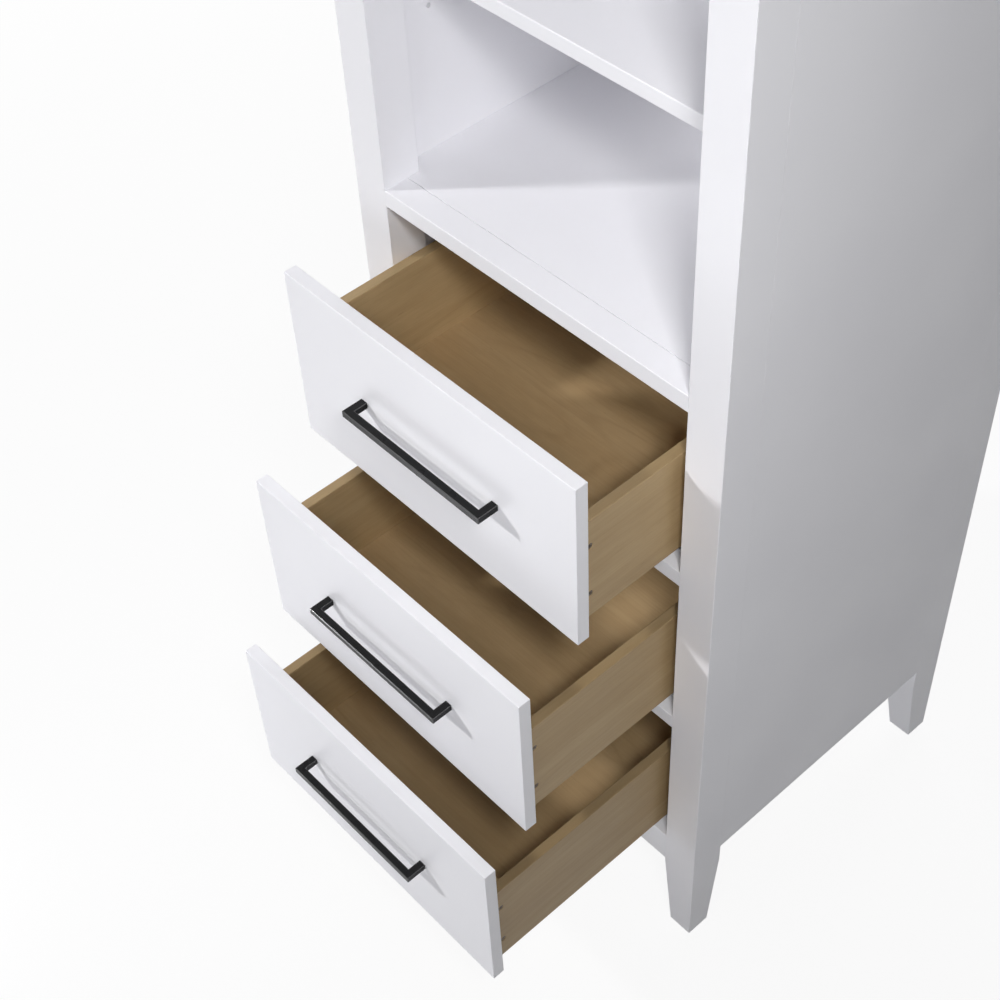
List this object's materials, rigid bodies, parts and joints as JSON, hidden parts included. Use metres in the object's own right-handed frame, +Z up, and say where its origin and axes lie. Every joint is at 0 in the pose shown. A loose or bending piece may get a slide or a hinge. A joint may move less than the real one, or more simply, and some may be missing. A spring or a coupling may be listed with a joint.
{
  "type": "bathroom linen cabinet",
  "caption": "Tall white linen cabinet on tapered legs, with open shelves above full-inset drawers that have black square bar pulls and natural wood boxes.",
  "frame": {"origin": "centre of the cabinet's footprint, on the floor", "axes": "+Z up, +X to the viewer's right when facing the drawers, the drawers open towards -Y and the back stands at +Y"},
  "size_m": [0.51, 0.7575, 1.7],
  "materials": {
    "white_paint": "satin cool-white paint on board and solid wood",
    "maple": "clear-coated maple with fine straight grain",
    "black_metal": "satin black coating",
    "zinc": "bright zinc plating",
    "glide_plastic": "matte white plastic"
  },
  "bodies": {
    "carcass": {"post_front_left": "white_paint", "post_front_right": "white_paint", "post_rear_left": "white_paint", "post_rear_right": "white_paint", "side_panel_left": "white_paint", "side_panel_right": "white_paint", "back_panel": "white_paint", "top_board": "white_paint", "top_rail": "white_paint", "deck_rail": "white_paint", "upper_drawer_rail": "white_paint", "lower_drawer_rail": "white_paint", "bottom_rail": "white_paint", "rear_top_rail": "white_paint", "rear_bottom_rail": "white_paint", "deck_board": "white_paint", "bottom_board": "white_paint", "lower_shelf": "white_paint", "upper_shelf": "white_paint", "shelf_pins": "zinc", "foot_glides": "glide_plastic", "slide_cleats_left": "maple", "slide_cleats_right": "maple", "slide_screws": "zinc", "top_slide_fixed": "zinc", "middle_slide_fixed": "zinc", "bottom_slide_fixed": "zinc"},
    "top_drawer": {"top_slide_inner": "zinc", "top_drawer_front": "white_paint", "top_box_left": "maple", "top_box_right": "maple", "top_box_front": "maple", "top_box_back": "maple", "top_box_bottom": "maple", "top_box_screws": "zinc", "top_pull": "black_metal", "top_pull_screws": "zinc"},
    "top_runner": {"top_slide_middle": "zinc"},
    "middle_drawer": {"middle_slide_inner": "zinc", "middle_drawer_front": "white_paint", "middle_box_left": "maple", "middle_box_right": "maple", "middle_box_front": "maple", "middle_box_back": "maple", "middle_box_bottom": "maple", "middle_box_screws": "zinc", "middle_pull": "black_metal", "middle_pull_screws": "zinc"},
    "middle_runner": {"middle_slide_middle": "zinc"},
    "bottom_drawer": {"bottom_slide_inner": "zinc", "bottom_drawer_front": "white_paint", "bottom_box_left": "maple", "bottom_box_right": "maple", "bottom_box_front": "maple", "bottom_box_back": "maple", "bottom_box_bottom": "maple", "bottom_box_screws": "zinc", "bottom_pull": "black_metal", "bottom_pull_screws": "zinc"},
    "bottom_runner": {"bottom_slide_middle": "zinc"}
  },
  "joints": [
    {"name": "top_drawer_slide", "type": "slide", "parent": "carcass", "child": "top_drawer", "axis": [0, -1, 0], "range_m": [-0.135, 0.245]},
    {"name": "top_runner_slide", "type": "slide", "parent": "carcass", "child": "top_runner", "axis": [0, -1, 0], "range_m": [-0.0675, 0.1225]},
    {"name": "middle_drawer_slide", "type": "slide", "parent": "carcass", "child": "middle_drawer", "axis": [0, -1, 0], "range_m": [-0.213, 0.167]},
    {"name": "middle_runner_slide", "type": "slide", "parent": "carcass", "child": "middle_runner", "axis": [0, -1, 0], "range_m": [-0.1065, 0.0835]},
    {"name": "bottom_drawer_slide", "type": "slide", "parent": "carcass", "child": "bottom_drawer", "axis": [0, -1, 0], "range_m": [-0.272, 0.108]},
    {"name": "bottom_runner_slide", "type": "slide", "parent": "carcass", "child": "bottom_runner", "axis": [0, -1, 0], "range_m": [-0.136, 0.054]}
  ],
  "couplings": [
    {"joint": "top_runner_slide", "follows": "top_drawer_slide", "ratio": 0.5},
    {"joint": "middle_runner_slide", "follows": "middle_drawer_slide", "ratio": 0.5},
    {"joint": "bottom_runner_slide", "follows": "bottom_drawer_slide", "ratio": 0.5}
  ]
}
